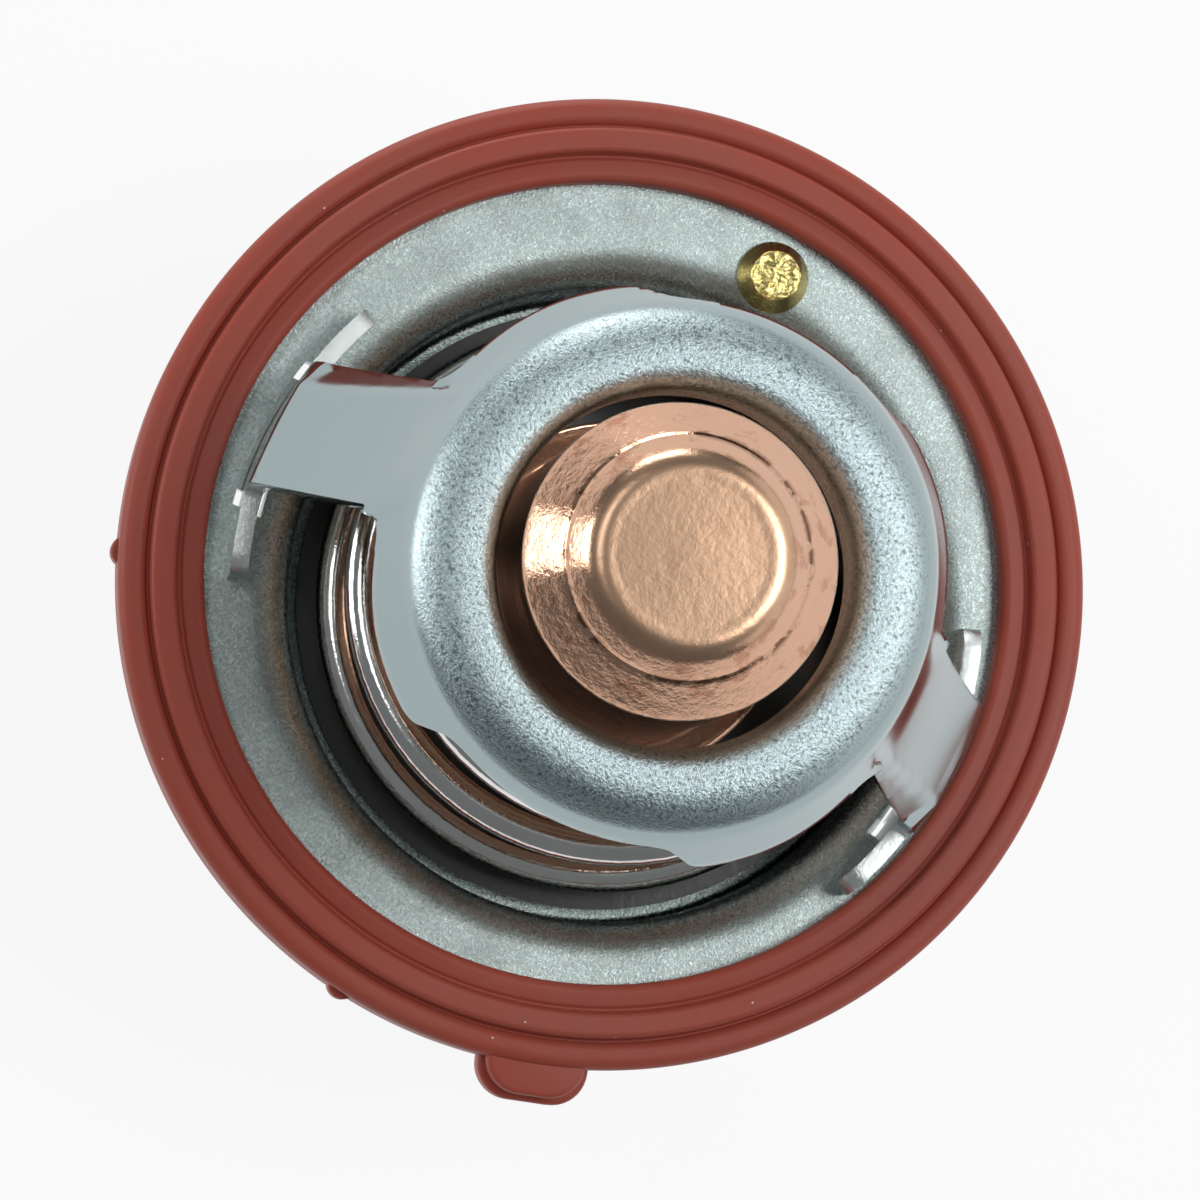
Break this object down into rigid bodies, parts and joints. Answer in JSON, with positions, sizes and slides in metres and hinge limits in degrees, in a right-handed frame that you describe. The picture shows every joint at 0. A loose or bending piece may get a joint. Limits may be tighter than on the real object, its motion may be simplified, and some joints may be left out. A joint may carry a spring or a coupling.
{
  "type": "engine coolant thermostat",
  "caption": "Wax-capsule engine coolant thermostat: plated flange with red rim seal, conical spring, lower frame with copper capsule, and a jiggle pin.",
  "frame": {"origin": "centre of the flange sheet, on the axis of the wax capsule, in the middle of the rim that drops into the housing recess", "axes": "+Z along the capsule towards the engine side, +X through one leg of the lower frame, +Y through the jiggle pin"},
  "size_m": [0.0559, 0.0569, 0.0567],
  "materials": {
    "plated_steel": "zinc plated, fine matt grain",
    "frame_steel": "zinc plated, grained on the ring, bright on the legs",
    "valve_steel": "bright drawn steel",
    "spring_steel": "polished round wire",
    "rod_steel": "ground steel",
    "copper": "drawn copper with scratches and dark oxide marks",
    "brass": "turned brass",
    "seal_rubber": "moulded red silicone, satin",
    "black_rubber": "moulded, matt",
    "white_ptfe": "turned, matt",
    "wax": "pressed wax and copper powder"
  },
  "bodies": {
    "frame": {"flange": "plated_steel", "seal_ring": "seal_rubber", "lower_frame": "frame_steel", "bridge": "frame_steel", "rod": "rod_steel", "return_spring": "spring_steel"},
    "valve": {"capsule_cup": "copper", "guide": "brass", "rubber_sleeve": "black_rubber", "wax_charge": "wax", "backup_ring": "white_ptfe", "rod_seal": "black_rubber", "seal_washer": "brass", "valve_disc": "valve_steel", "valve_seal": "black_rubber", "valve_retainer": "rod_steel"},
    "jiggle": {"jiggle_pin": "brass", "jiggle_weight": "brass"}
  },
  "joints": [
    {"name": "valve_slide", "type": "slide", "parent": "frame", "child": "valve", "axis": [0, 0, 1], "range_m": [0, 0.008], "stiffness_N_per_m": 6000, "springref_m": -0.01, "deforming": ["return_spring"]},
    {"name": "jiggle_slide", "type": "slide", "parent": "frame", "child": "jiggle", "axis": [0, 0, 1], "range_m": [0, 0.0012]}
  ]
}
